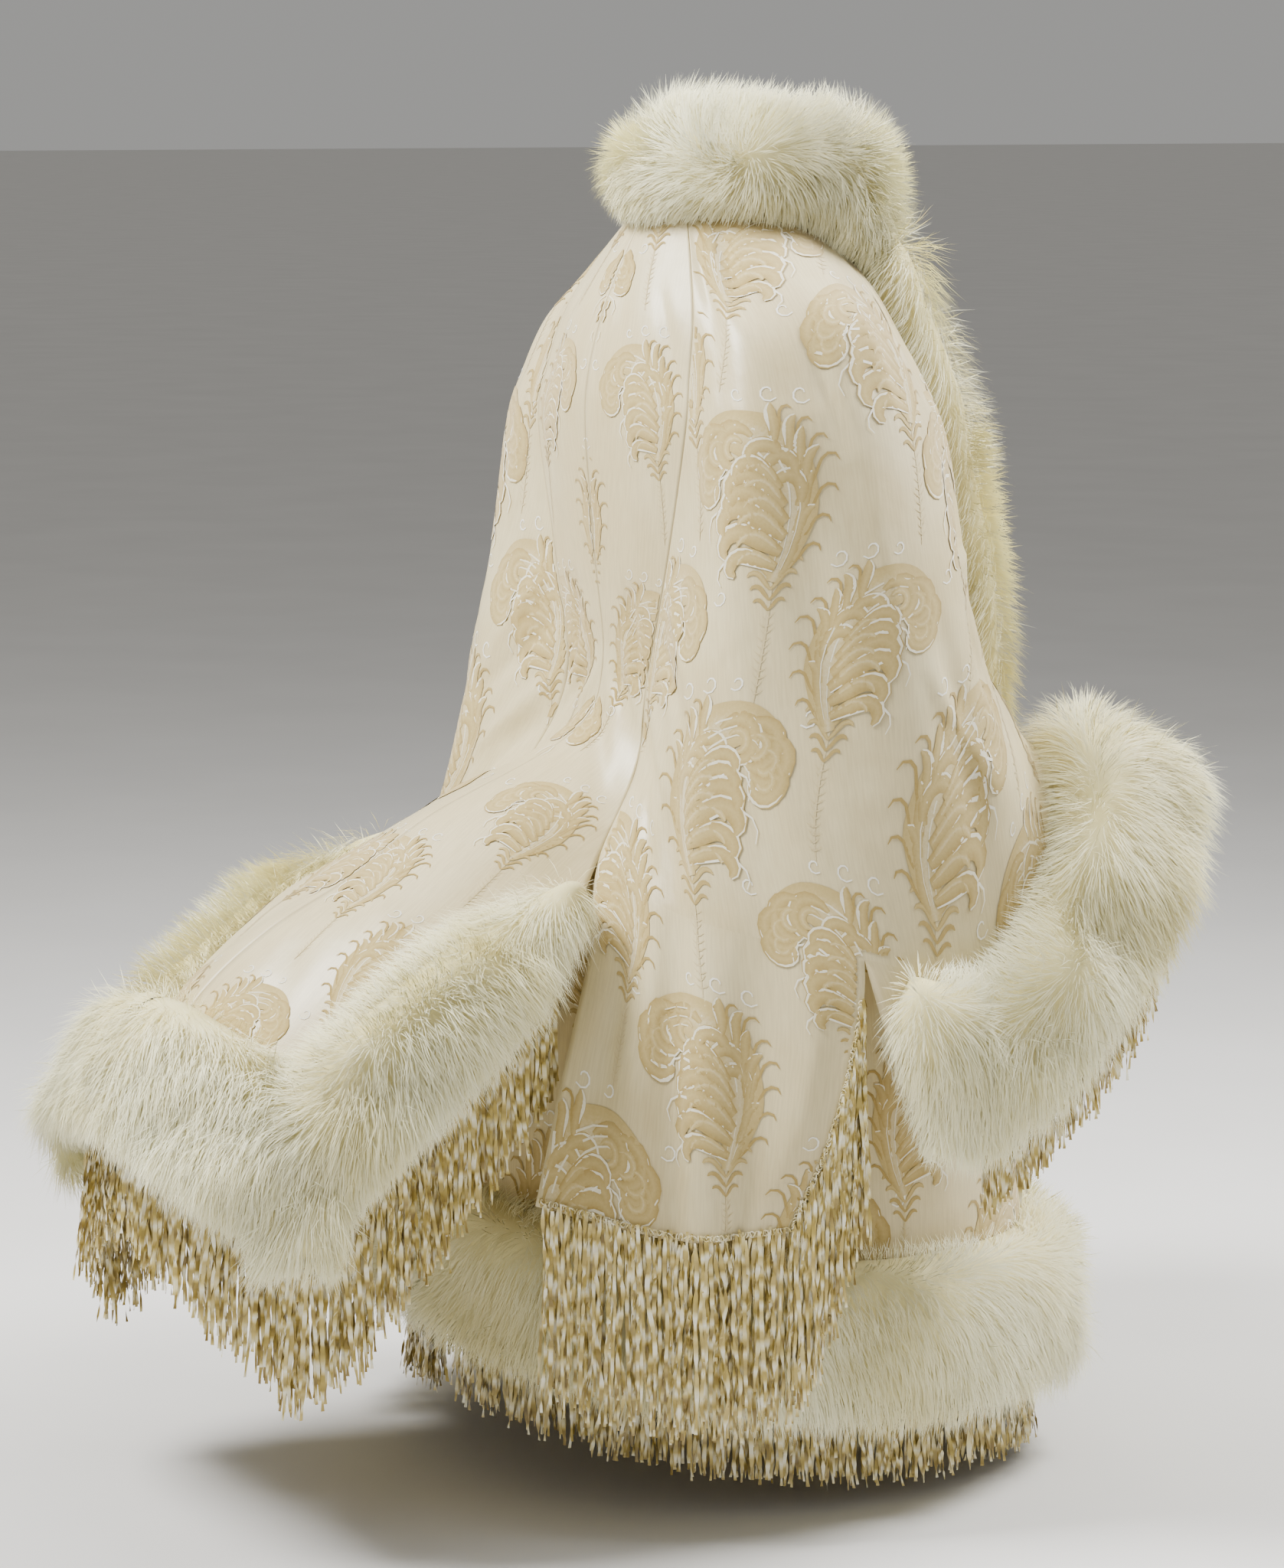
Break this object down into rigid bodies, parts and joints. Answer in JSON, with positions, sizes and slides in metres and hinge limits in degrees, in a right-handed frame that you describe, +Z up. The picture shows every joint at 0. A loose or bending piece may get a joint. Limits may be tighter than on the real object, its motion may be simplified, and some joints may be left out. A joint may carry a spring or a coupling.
{
  "type": "dolman mantle",
  "caption": "Fur-trimmed dolman mantle with sling sleeves, hanging pendants, silk fringe and a tail draped over a bustle.",
  "frame": {"origin": "middle of the neck at the neckline's height, where the mantle hangs on the shoulders", "axes": "+Z up, -Y the way the wearer faces, -X the wearer's right"},
  "size_m": [0.8004, 0.8511, 1.1092],
  "materials": {
    "satin": "satin with velvet plumes",
    "fur": "long soft fur",
    "silk": "twisted silk fringe"
  },
  "bodies": {
    "root": {"back_left": "satin", "sleeve_left": "satin", "front_left": "satin", "front_fur_left": "fur", "cuff_fur_left": "fur", "tail_fur_left": "fur", "hem_fur_left": "fur", "tail_fringe_left": "silk", "pendant_fringe_left": "silk", "cuff_fringe_left": "silk", "hem_fringe_left": "silk", "back_right": "satin", "sleeve_right": "satin", "front_right": "satin", "front_fur_right": "fur", "cuff_fur_right": "fur", "tail_fur_right": "fur", "hem_fur_right": "fur", "tail_fringe_right": "silk", "pendant_fringe_right": "silk", "cuff_fringe_right": "silk", "hem_fringe_right": "silk", "collar_fur": "fur"}
  },
  "joints": []
}
